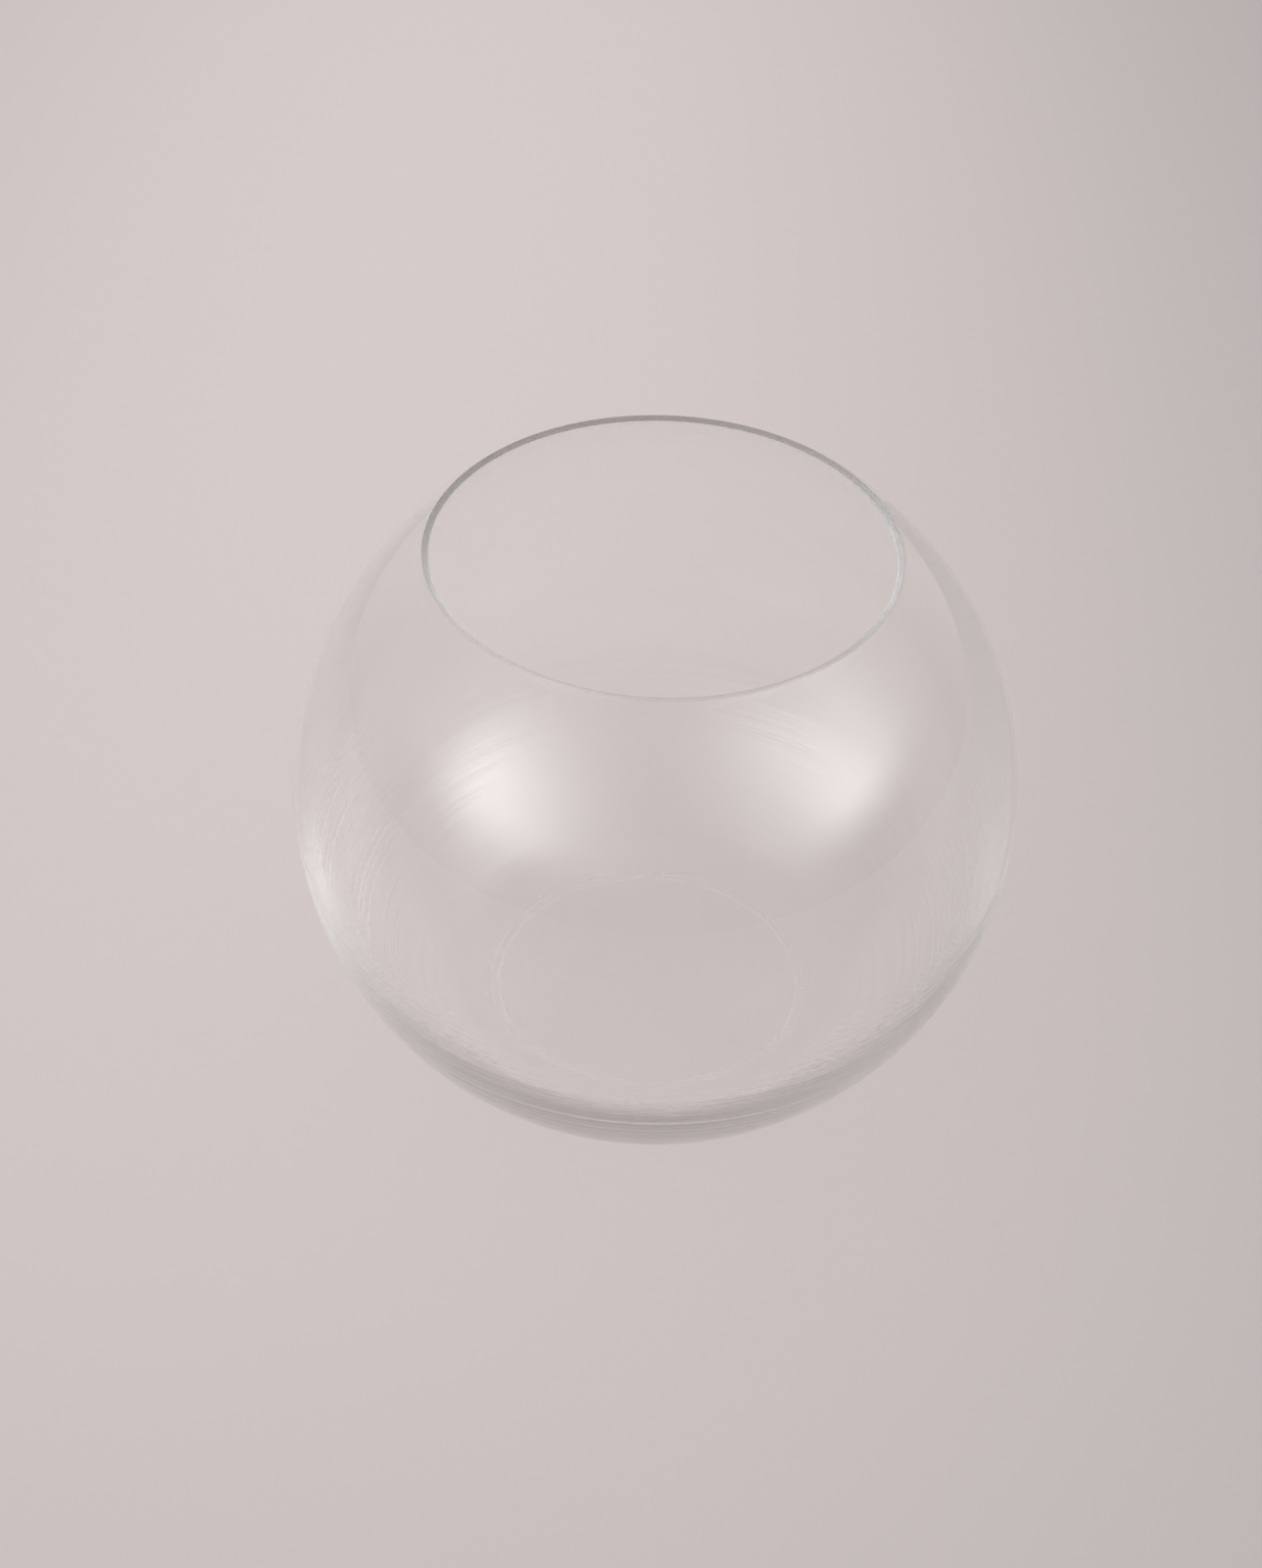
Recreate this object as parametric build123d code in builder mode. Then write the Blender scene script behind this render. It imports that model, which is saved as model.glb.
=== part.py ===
from build123d import *
from math import sqrt
import os

# Rose bowl of clear blown glass: one round shell with a thin flat-cut mouth and a heavier heel and floor
# Sizes are in millimetres, the standing plane is z = 0 and the axis of the bowl is Z

# Outside
body_diameter = 150.0  # at the widest ring of the body
rim_diameter = 93.0  # outer edge of the flat rim
rim_rise = 60.2  # rim above the widest ring
foot_diameter = 73.0  # outer edge of the ring that the bowl stands on
foot_ring_width = 3.5
heel_radius = 19.0  # round from the standing ring into the body
push_up = 0.8  # height of the hollow under the floor

# Glass
wall_at_rim = 1.2  # square to the wall
wall_at_belly = 1.1  # at the widest ring of the body, where the glass is blown thinnest
wall_at_heel = 4.2  # where the heel runs into the body
floor_thickness = 4.0
floor_corner_radius = 17.0  # round from the floor up into the wall, inside
rim_polish = 0.35  # softened edges of the rim
polish_limit = 0.3  # most that the softening takes, as a share of the wall

# Outer outline: standing ring, heel, a round lower body and a slightly fuller shoulder
body_radius = body_diameter / 2
rim_radius = rim_diameter / 2
foot_radius = foot_diameter / 2
push_up_radius = foot_radius - foot_ring_width
heel_reach = body_radius - heel_radius
body_centre = heel_radius + sqrt(heel_reach**2 - foot_radius**2)
heel_top = (
    foot_radius * body_radius / heel_reach,
    body_centre - (body_centre - heel_radius) * body_radius / heel_reach,
)
rim_height = body_centre + rim_rise
shoulder_step = body_radius - rim_radius
shoulder_radius = (shoulder_step**2 + rim_rise**2) / (2 * shoulder_step)

# Cavity outline: a crowned floor, a round corner, a lower wall that thins up to the belly, and a neck
rim_lean = 1 - shoulder_step / shoulder_radius  # level share of the wall's slanting thickness at the rim
mouth_radius = rim_radius - wall_at_rim / rim_lean
cavity_radius = body_radius - wall_at_belly
heel_inset = (wall_at_heel - wall_at_belly) / (1 - foot_radius / heel_reach)  # centre of the lower wall
lower_radius = cavity_radius - heel_inset
corner_reach = lower_radius - floor_corner_radius
corner_drop = body_centre - floor_thickness - floor_corner_radius
corner_offset = sqrt(corner_reach**2 - corner_drop**2)
floor_radius = heel_inset + corner_offset
crown_height = push_up + floor_thickness
corner_top = (
    heel_inset + corner_offset * lower_radius / corner_reach,
    body_centre - corner_drop * lower_radius / corner_reach,
)

os.makedirs("parts", exist_ok=True)

with BuildPart() as glass_bowl:
    with BuildSketch(Plane.XZ) as section:
        with BuildLine():
            hollow = TangentArc((0, push_up), (push_up_radius, 0), tangent=(1, 0))
            standing_ring = Line(hollow @ 1, (foot_radius, 0))
            heel = TangentArc(standing_ring @ 1, heel_top, tangent=standing_ring % 1)
            body = TangentArc(heel @ 1, (body_radius, body_centre), tangent=heel % 1)
            shoulder = TangentArc(body @ 1, (rim_radius, rim_height), tangent=(0, 1))
            rim = Line(shoulder @ 1, (mouth_radius, rim_height))
            crown = TangentArc((0, crown_height), (floor_radius, floor_thickness), tangent=(1, 0))
            corner = TangentArc(crown @ 1, corner_top, tangent=(1, 0))
            belly = TangentArc(corner @ 1, (cavity_radius, body_centre), tangent=corner % 1)
            neck = TangentArc(belly @ 1, rim @ 1, tangent=(0, 1))
            axis = Line(hollow @ 0, crown @ 0)
        make_face()
        rim_edges = section.vertices().group_by(Axis.Y)[-1]
        fillet(rim_edges, radius=min(rim_polish, polish_limit * wall_at_rim))
    revolve(axis=Axis.Z)

glass_bowl.part.label = "glass_bowl"
export_step(glass_bowl.part, "parts/glass_bowl.step")
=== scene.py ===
from math import acos, asin, cos, exp, pi, radians, sin, sqrt, tan

import bpy
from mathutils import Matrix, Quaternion, Vector


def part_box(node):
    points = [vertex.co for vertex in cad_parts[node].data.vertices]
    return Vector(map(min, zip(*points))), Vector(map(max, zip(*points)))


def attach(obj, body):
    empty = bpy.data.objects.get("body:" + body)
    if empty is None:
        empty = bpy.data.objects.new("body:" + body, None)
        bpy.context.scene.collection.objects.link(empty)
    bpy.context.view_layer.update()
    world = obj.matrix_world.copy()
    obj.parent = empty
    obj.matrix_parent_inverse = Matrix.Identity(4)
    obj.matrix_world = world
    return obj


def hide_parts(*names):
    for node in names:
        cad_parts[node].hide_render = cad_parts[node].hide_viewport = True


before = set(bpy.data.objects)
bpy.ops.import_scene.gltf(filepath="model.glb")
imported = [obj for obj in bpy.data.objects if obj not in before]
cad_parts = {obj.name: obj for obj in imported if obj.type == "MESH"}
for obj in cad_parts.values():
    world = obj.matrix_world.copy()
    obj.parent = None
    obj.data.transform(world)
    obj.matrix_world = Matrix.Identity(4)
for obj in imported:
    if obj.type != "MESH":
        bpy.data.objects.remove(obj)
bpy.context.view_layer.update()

# Bowl sizes in metres: the outside comes from the frame, the rest repeats the solid's own sizes
low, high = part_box("glass_bowl")
BODY_RADIUS = (high.x - low.x) / 2
RIM_HEIGHT = high.z
RIM_RADIUS = 0.0465
FOOT_RADIUS = 0.0365
FOOT_RING_WIDTH = 0.0035
HEEL_RADIUS = 0.019
PUSH_UP = 0.0008
WALL_AT_RIM = 0.0012
WALL_AT_BELLY = 0.0011
WALL_AT_HEEL = 0.0042
FLOOR_THICKNESS = 0.0040
FLOOR_CORNER_RADIUS = 0.017
RIM_POLISH = 0.00035

BODY_CENTRE = HEEL_RADIUS + sqrt((BODY_RADIUS - HEEL_RADIUS) ** 2 - FOOT_RADIUS**2)
RIM_RISE = RIM_HEIGHT - BODY_CENTRE
CAVITY_RADIUS = BODY_RADIUS - WALL_AT_BELLY
HEEL_TURN = asin(FOOT_RADIUS / (BODY_RADIUS - HEEL_RADIUS))
HEEL_INSET = (WALL_AT_HEEL - WALL_AT_BELLY) / (1 - sin(HEEL_TURN))
LOWER_CAVITY_RADIUS = CAVITY_RADIUS - HEEL_INSET

# Turning rings of the blown wall: spacing along the wall, height and start of each wave
OUTER_RINGS = ((0.0043, 12e-6, 1.9),)
INNER_RINGS = ((0.0037, 9e-6, 1.1), (0.0061, 13e-6, 0.2))

# The rings set in over a short way up the wall, are full as far as one height of it and end at another
RINGS_START = 0.003
RINGS_FULL = 0.035
RINGS_TOP = 0.078

# Mesh: steps along the section and around the axis, and how it is merged and smoothed
RING_STEP = 0.0011
HEEL_STEP = 0.0005
PLAIN_STEP = 0.003
FEWEST_STEPS = 4
SMALL_STEPS = 6
SPIN_STEPS = 384
SEED_SIZE = 0.001
MERGE_DISTANCE = 1e-6
SMOOTH_ANGLE = radians(25)

# Glass: how it bends light, what passes on to light the floor, and the tint that depth gives it
GLASS_IOR = 1.5
PASSED_LIGHT = (0.99, 0.99, 0.99, 1)
GLASS_TINT = (0.0, 0.1, 0.06, 1)
TINT_DENSITY = 0.6

# Streaks drawn out around the outside, in patches, and the places between which they come in
STREAKS_PER_METRE = 450
STREAK_DETAIL = 1.0
STREAK_HEIGHT = 1.2e-4
STREAK_SKIN = (0.0008, 0.0003)
STREAKS_UP = (0.075, 0.025)
PATCHES_PER_METRE = 14
NOISE_MIDDLE = 0.5

# Deeper streaks at the left and right, as a multiple of the plain ones, and where they come in
DEEP_STREAKS_PER_METRE = 580
LEFT_DEPTH = 3.0
RIGHT_DEPTH = 0.8
DEEP_STREAKS_LEFT = (-0.044, -0.060)
DEEP_STREAKS_RIGHT = (0.050, 0.066)
DEEP_STREAKS_BACK = (0.045, 0.025)
DEEP_STREAKS_DOWN = (0.008, 0.018)

# Wear where the bowl stands: its height, its finish, and the radius, width and share of each worn ring
SCUFF_TOP = 0.00015
SCUFF_ROUGHNESS = 0.4
SCUFF_COLOUR = (0.9, 0.9, 0.9, 1)
WORN_RINGS = ((0.0334, 0.0005, 0.4), (0.0352, 0.0004, 0.28))
GRIT_PER_METRE = 900
GRIT_DETAIL = 4.0

# Finely ground rim
GROUND_DEPTH = 0.0003
GROUND_ROUGHNESS = 0.48

# Pale surface that the bowl stands on
FLOOR_COLOUR = (0.62, 0.615, 0.612, 1)
FLOOR_RADIUS = 0.75
FLOOR_CORNERS = 180
FLOOR_GAP = 0.0002

# Room light: its warm tint and level, and each share that it loses, with where that loss comes in
ROOM_TINT = (1.0, 0.868, 0.853)
ROOM_LEVEL = 0.61
FRONT_LOSS = 0.48
FRONT_REACH = (0.3, -0.8)
CEILING_LOSS = 0.32
CEILING_REACH = (0.15, 0.5)
SIDE_LOSS = 0.5
SIDE_REACH_SQUARED = (0.36, 0.9)

# Big soft lamps that fade towards the horizon: direction from the bowl, spread and strength
LAMP_TINT = (0.99, 1.0, 1.0)
LAMP_FADE = 0.3
LAMPS = (
    ((-0.71, -0.60, 0.33), 0.115, 1.75),
    ((0.82, -0.27, 0.46), 0.085, 1.8),
    ((0.92, -0.37, 0.18), 0.04, 2.0),
)

# Long soft light above the bowl that lights the floor and doesn't show in the glass
FILL_PLACE = (-0.092, 0.30, 0.217)
FILL_WIDTH = 0.445
FILL_LENGTH = 1.07
FILL_STRENGTH = 0.66

# Camera of the photograph
LENS = 57.7
VIEW_RISE = radians(41.36)
VIEW_DISTANCE = 7 * BODY_RADIUS
AIM_LEFT = 0.00495
AIM_UP = -0.0006
ROLL = radians(1.6)

# Light that enters the wall at the rim turns back many times inside it
LIGHT_BOUNCES = 160


class Wire:
    """One output socket of a node tree, for writing shader maths as Python expressions."""

    def __init__(self, tree, socket):
        self.tree = tree
        self.socket = socket

    def maths(self, operation, a, b):
        return add_node(self.tree, "ShaderNodeMath", {"operation": operation}, {0: a, 1: b})

    def __add__(self, other):
        return self.maths("ADD", self, other)

    __radd__ = __add__

    def __sub__(self, other):
        return self.maths("SUBTRACT", self, other)

    def __rsub__(self, other):
        return self.maths("SUBTRACT", other, self)

    def __mul__(self, other):
        return self.maths("MULTIPLY", self, other)

    __rmul__ = __mul__

    def exponent(self):
        return self.maths("EXPONENT", self, 0)

    def size(self):
        return self.maths("ABSOLUTE", self, 0)


def feed(tree, socket, value):
    """Links a wire to a socket, or sets the socket to a plain value."""
    if isinstance(value, Wire):
        tree.links.new(value.socket, socket)
    else:
        socket.default_value = value


def add_node(tree, kind, settings=None, sockets=None, out=0):
    """Adds a node, sets its settings and then its sockets, and gives one output as a wire."""
    node = tree.nodes.new(kind)
    for name, value in (settings or {}).items():
        setattr(node, name, value)
    for key, value in (sockets or {}).items():
        feed(tree, node.inputs[key], value)
    return Wire(tree, node.outputs[out]) if node.outputs else None


def coordinate(vector, axis):
    """The X, Y or Z of a vector."""
    return add_node(vector.tree, "ShaderNodeSeparateXYZ", sockets={0: vector}, out=axis)


def soft_step(value, start, end):
    """Runs smoothly from 0 to 1 as a wire goes from start to end."""
    return add_node(
        value.tree,
        "ShaderNodeMapRange",
        {"interpolation_type": "SMOOTHSTEP"},
        {"Value": value, "From Min": start, "From Max": end},
    )


def new_material(name):
    """A material with nothing in its node tree yet."""
    material = bpy.data.materials.new(name)
    material.use_nodes = True
    material.node_tree.nodes.clear()
    return material, material.node_tree


def creases(height, per_metre):
    """Sharp-edged streaks that run level around the bowl, at uneven heights."""
    noise = add_node(
        height.tree,
        "ShaderNodeTexNoise",
        {"noise_dimensions": "1D"},
        {"W": height, "Scale": per_metre, "Detail": STREAK_DETAIL},
    )
    return (noise - NOISE_MIDDLE).size()


def turning_streaks(place):
    """Height of the streaks on the outside below the belly, deeper at the left and right."""
    across = coordinate(place, "X")
    back = coordinate(place, "Y")
    height = coordinate(place, "Z")
    from_centre = add_node(
        place.tree,
        "ShaderNodeVectorMath",
        {"operation": "DISTANCE"},
        {0: place, 1: (0, 0, BODY_CENTRE)},
        out="Value",
    )
    outside = soft_step(from_centre, *(BODY_RADIUS - depth for depth in STREAK_SKIN))
    left = LEFT_DEPTH * soft_step(across, *DEEP_STREAKS_LEFT)
    right = RIGHT_DEPTH * soft_step(across, *DEEP_STREAKS_RIGHT)
    deep = (left + right) * soft_step(back, *DEEP_STREAKS_BACK) * soft_step(height, *DEEP_STREAKS_DOWN)
    streaks = creases(height, STREAKS_PER_METRE) + deep * creases(height, DEEP_STREAKS_PER_METRE)
    return streaks * outside * soft_step(height, *STREAKS_UP)


def worn_rings(place):
    """How strongly the glass is worn, by the distance from the axis."""
    tree = place.tree
    flat = add_node(tree, "ShaderNodeVectorMath", {"operation": "MULTIPLY"}, {0: place, 1: (1, 1, 0)})
    from_axis = add_node(tree, "ShaderNodeVectorMath", {"operation": "LENGTH"}, {0: flat}, out="Value")
    wear = 0
    for radius, width, share in WORN_RINGS:
        off = (from_axis - radius) * (1 / width)
        wear = wear + share * (off * off * -1).exponent()
    return wear


def clear_glass():
    """Clear glass with fine turning streaks, scuffs on the standing ring and a finely ground rim."""
    material, tree = new_material("clear_glass")
    place = add_node(tree, "ShaderNodeTexCoord", out="Object")
    height = coordinate(place, "Z")
    patches = add_node(tree, "ShaderNodeTexNoise", sockets={"Vector": place, "Scale": PATCHES_PER_METRE})
    streaks = turning_streaks(place) * patches
    relief = add_node(tree, "ShaderNodeBump", sockets={"Distance": STREAK_HEIGHT, "Height": streaks})
    grit = add_node(
        tree,
        "ShaderNodeTexNoise",
        sockets={"Vector": place, "Scale": GRIT_PER_METRE, "Detail": GRIT_DETAIL},
    )
    scuffs = grit * soft_step(height, SCUFF_TOP, 0.0)
    ground = soft_step(height, RIM_HEIGHT - GROUND_DEPTH, RIM_HEIGHT)
    glass = add_node(
        tree,
        "ShaderNodeBsdfPrincipled",
        sockets={
            "Base Color": (1, 1, 1, 1),
            "Roughness": SCUFF_ROUGHNESS * scuffs + GROUND_ROUGHNESS * ground,
            "IOR": GLASS_IOR,
            "Transmission Weight": 1.0,
            "Normal": relief,
        },
    )
    scuffed = add_node(tree, "ShaderNodeBsdfDiffuse", sockets={"Color": SCUFF_COLOUR})
    scratches = worn_rings(place) * scuffs * patches
    bowl = add_node(tree, "ShaderNodeMixShader", sockets={0: scratches, 1: glass, 2: scuffed})
    passed = add_node(tree, "ShaderNodeBsdfTransparent", sockets={"Color": PASSED_LIGHT})
    shadow = add_node(tree, "ShaderNodeLightPath", out="Is Shadow Ray")
    diffuse = add_node(tree, "ShaderNodeLightPath", out="Is Diffuse Ray")
    surface = add_node(tree, "ShaderNodeMixShader", sockets={0: shadow + diffuse, 1: bowl, 2: passed})
    tint = add_node(
        tree,
        "ShaderNodeVolumeAbsorption",
        sockets={"Color": GLASS_TINT, "Density": TINT_DENSITY},
    )
    add_node(tree, "ShaderNodeOutputMaterial", sockets={"Surface": surface, "Volume": tint})
    return material


def ring_height(along, rings):
    """How far the turning rings stand off the wall, by the distance along it from its lower end."""
    rise = 1 - exp(-((along / RINGS_START) ** 2))
    fade = min(1, max(0, (RINGS_TOP - along) / (RINGS_TOP - RINGS_FULL)))
    waves = sum(height * sin(2 * pi * along / length + start) for length, height, start in rings)
    return rise * fade**2 * (3 - 2 * fade) * waves


def arc(centre, radius, start, end, step, rings=(), along=0.0):
    """Points along an arc of the bowl's section, by angle from straight down, with any rings on it."""
    count = max(FEWEST_STEPS, round(abs(end - start) * radius / step))
    points = []
    for k in range(count + 1):
        angle = start + (end - start) * k / count
        reach = radius + ring_height(along + radius * (angle - min(start, end)), rings)
        points.append((centre[0] + reach * sin(angle), centre[1] - reach * cos(angle)))
    return points


def shoulder(radius, rim_radius):
    """Centre, radius and end angle of the round from the widest ring up to the rim."""
    step_in = radius - rim_radius
    bend = (step_in**2 + RIM_RISE**2) / (2 * step_in)
    return (radius - bend, BODY_CENTRE), bend, pi - acos(RIM_RISE / bend)


def dome(base, edge, count=SMALL_STEPS):
    """The shallow push-up of the floor, from the axis out to its edge."""
    return [(edge * k / count, base + PUSH_UP * (1 - (k / count) ** 2)) for k in range(count + 1)]


def rounded(corner, before, after, radius, count=SMALL_STEPS):
    """A corner of the section softened by a small round, between the ways to its two neighbours."""
    corner = Vector(corner)
    before = (Vector(before) - corner).normalized()
    after = (Vector(after) - corner).normalized()
    half = before.angle(after) / 2
    middle = corner + (before + after).normalized() * (radius / sin(half))
    first = corner + before * (radius / tan(half)) - middle
    last = corner + after * (radius / tan(half)) - middle
    return [tuple(middle + first.slerp(last, k / count) * radius) for k in range(count + 1)]


def bowl_section():
    """The outline of the glass from the axis under the floor, round the outside and back inside."""
    heel = arc((FOOT_RADIUS, HEEL_RADIUS), HEEL_RADIUS, 0, HEEL_TURN, HEEL_STEP, OUTER_RINGS)
    heel_length = HEEL_RADIUS * HEEL_TURN
    body = arc((0, BODY_CENTRE), BODY_RADIUS, HEEL_TURN, pi / 2, RING_STEP, OUTER_RINGS, heel_length)
    centre, bend, rim_turn = shoulder(BODY_RADIUS, RIM_RADIUS)
    upper = arc(centre, bend, pi / 2, rim_turn, PLAIN_STEP)

    mouth_radius = RIM_RADIUS - WALL_AT_RIM / sin(rim_turn)
    centre, bend, mouth_turn = shoulder(CAVITY_RADIUS, mouth_radius)
    neck = arc(centre, bend, mouth_turn, pi / 2, PLAIN_STEP)
    corner_reach = LOWER_CAVITY_RADIUS - FLOOR_CORNER_RADIUS
    corner_drop = BODY_CENTRE - FLOOR_THICKNESS - FLOOR_CORNER_RADIUS
    corner_turn = acos(corner_drop / corner_reach)
    corner_length = FLOOR_CORNER_RADIUS * corner_turn
    centre = (HEEL_INSET, BODY_CENTRE)
    belly = arc(centre, LOWER_CAVITY_RADIUS, pi / 2, corner_turn, RING_STEP, INNER_RINGS, corner_length)
    floor_edge = HEEL_INSET + corner_reach * sin(corner_turn)
    corner_centre = (floor_edge, FLOOR_THICKNESS + FLOOR_CORNER_RADIUS)
    corner = arc(corner_centre, FLOOR_CORNER_RADIUS, corner_turn, 0, HEEL_STEP, INNER_RINGS)
    inner_floor = dome(FLOOR_THICKNESS, floor_edge)

    rim_outer = rounded(upper[-1], upper[-2], neck[0], RIM_POLISH)
    rim_inner = rounded(neck[0], upper[-1], neck[1], RIM_POLISH)
    outside = [*dome(0, FOOT_RADIUS - FOOT_RING_WIDTH), *heel, *body[1:], *upper[1:-1], *rim_outer]
    inside = [*rim_inner, *neck[1:], *belly[1:], *corner[1:], *reversed(inner_floor[:-1])]
    return outside + inside


def blow_bowl():
    """Draws the section from one point by extruding it along, and spins it around the axis."""
    bpy.ops.object.select_all(action="DESELECT")
    bpy.ops.mesh.primitive_plane_add(size=SEED_SIZE, location=(0, 0, 0))
    bowl = bpy.context.object
    bowl.name = "blown_bowl"
    bpy.ops.object.mode_set(mode="EDIT")
    bpy.ops.mesh.merge(type="CENTER")
    section = bowl_section()
    here = section[0]
    bpy.ops.transform.translate(value=(here[0], 0, here[1]))
    for there in section[1:]:
        step = (there[0] - here[0], 0, there[1] - here[1])
        bpy.ops.mesh.extrude_region_move(TRANSFORM_OT_translate={"value": step})
        here = there
    bpy.ops.mesh.select_all(action="SELECT")
    bpy.ops.mesh.spin(steps=SPIN_STEPS, angle=2 * pi, center=(0, 0, 0), axis=(0, 0, 1))
    bpy.ops.mesh.select_all(action="SELECT")
    bpy.ops.mesh.remove_doubles(threshold=MERGE_DISTANCE)
    bpy.ops.mesh.normals_make_consistent(inside=False)
    bpy.ops.object.mode_set(mode="OBJECT")
    bpy.ops.object.shade_smooth_by_angle(angle=SMOOTH_ANGLE)
    bowl.data.materials.append(clear_glass())
    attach(bowl, "root")
    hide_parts("glass_bowl")


def lay_floor():
    """A plain round floor just under the standing ring."""
    bpy.ops.object.select_all(action="DESELECT")
    bpy.ops.mesh.primitive_circle_add(
        vertices=FLOOR_CORNERS, radius=FLOOR_RADIUS, fill_type="NGON", location=(0, 0, -FLOOR_GAP)
    )
    floor = bpy.context.object
    floor.name = "pale_floor"
    material, tree = new_material("pale_floor")
    paper = add_node(tree, "ShaderNodeBsdfDiffuse", sockets={"Color": FLOOR_COLOUR})
    add_node(tree, "ShaderNodeOutputMaterial", sockets={"Surface": paper})
    floor.data.materials.append(material)


def lamp_glow(way, towards, spread, strength):
    """A soft round lamp far off in one direction."""
    unit = Vector(towards).normalized()
    along = add_node(
        way.tree, "ShaderNodeVectorMath", {"operation": "DOT_PRODUCT"}, {0: way, 1: unit}, out="Value"
    )
    return strength * ((along - 1) * (1 / spread)).exponent()


def light_room():
    """Room light that weakens towards the viewer, the ceiling and both sides, and the soft lamps."""
    world = bpy.data.worlds.new("studio")
    bpy.context.scene.world = world
    world.use_nodes = True
    tree = world.node_tree
    tree.nodes.clear()
    way = add_node(tree, "ShaderNodeTexCoord", out="Generated")
    across = coordinate(way, "X")
    back = coordinate(way, "Y")
    up = coordinate(way, "Z")
    front = soft_step(back, *FRONT_REACH)
    ceiling = soft_step(up, *CEILING_REACH)
    sides = soft_step(across * across, *SIDE_REACH_SQUARED)
    room = ROOM_LEVEL * (1 - FRONT_LOSS * front) * (1 - CEILING_LOSS * ceiling) * (1 - SIDE_LOSS * sides)
    lamps = soft_step(up, 0.0, LAMP_FADE) * sum(lamp_glow(way, *lamp) for lamp in LAMPS)
    walls = add_node(tree, "ShaderNodeBackground", sockets={"Color": (*ROOM_TINT, 1), "Strength": room})
    glows = add_node(tree, "ShaderNodeBackground", sockets={"Color": (*LAMP_TINT, 1), "Strength": lamps})
    light = add_node(tree, "ShaderNodeAddShader", sockets={0: walls, 1: glows})
    add_node(tree, "ShaderNodeOutputWorld", sockets={"Surface": light})


def hang_fill_light():
    lamp = bpy.data.lights.new("fill_light", "AREA")
    lamp.shape = "RECTANGLE"
    lamp.size = FILL_WIDTH
    lamp.size_y = FILL_LENGTH
    lamp.color = ROOM_TINT
    lamp.energy = FILL_STRENGTH * pi * FILL_WIDTH * FILL_LENGTH
    fill = bpy.data.objects.new("fill_light", lamp)
    fill.location = FILL_PLACE
    fill.visible_camera = False
    fill.visible_glossy = False
    fill.visible_transmission = False
    bpy.context.scene.collection.objects.link(fill)


def set_camera():
    data = bpy.data.cameras.new("camera")
    data.lens = LENS
    camera = bpy.data.objects.new("camera", data)
    bpy.context.scene.collection.objects.link(camera)
    back = Vector((0, -cos(VIEW_RISE), sin(VIEW_RISE)))
    place = Vector((0, 0, BODY_CENTRE)) + back * VIEW_DISTANCE
    up = Vector((0, sin(VIEW_RISE), cos(VIEW_RISE)))
    aim = Vector((-AIM_LEFT, 0, BODY_CENTRE)) + up * AIM_UP
    camera.location = place
    camera.rotation_mode = "QUATERNION"
    camera.rotation_quaternion = (aim - place).to_track_quat("-Z", "Y") @ Quaternion((0, 0, 1), ROLL)
    bpy.context.scene.camera = camera


scene = bpy.context.scene
scene.view_settings.view_transform = "Standard"
scene.cycles.max_bounces = LIGHT_BOUNCES
scene.cycles.transmission_bounces = LIGHT_BOUNCES
scene.cycles.glossy_bounces = LIGHT_BOUNCES
blow_bowl()
lay_floor()
light_room()
hang_fill_light()
set_camera()
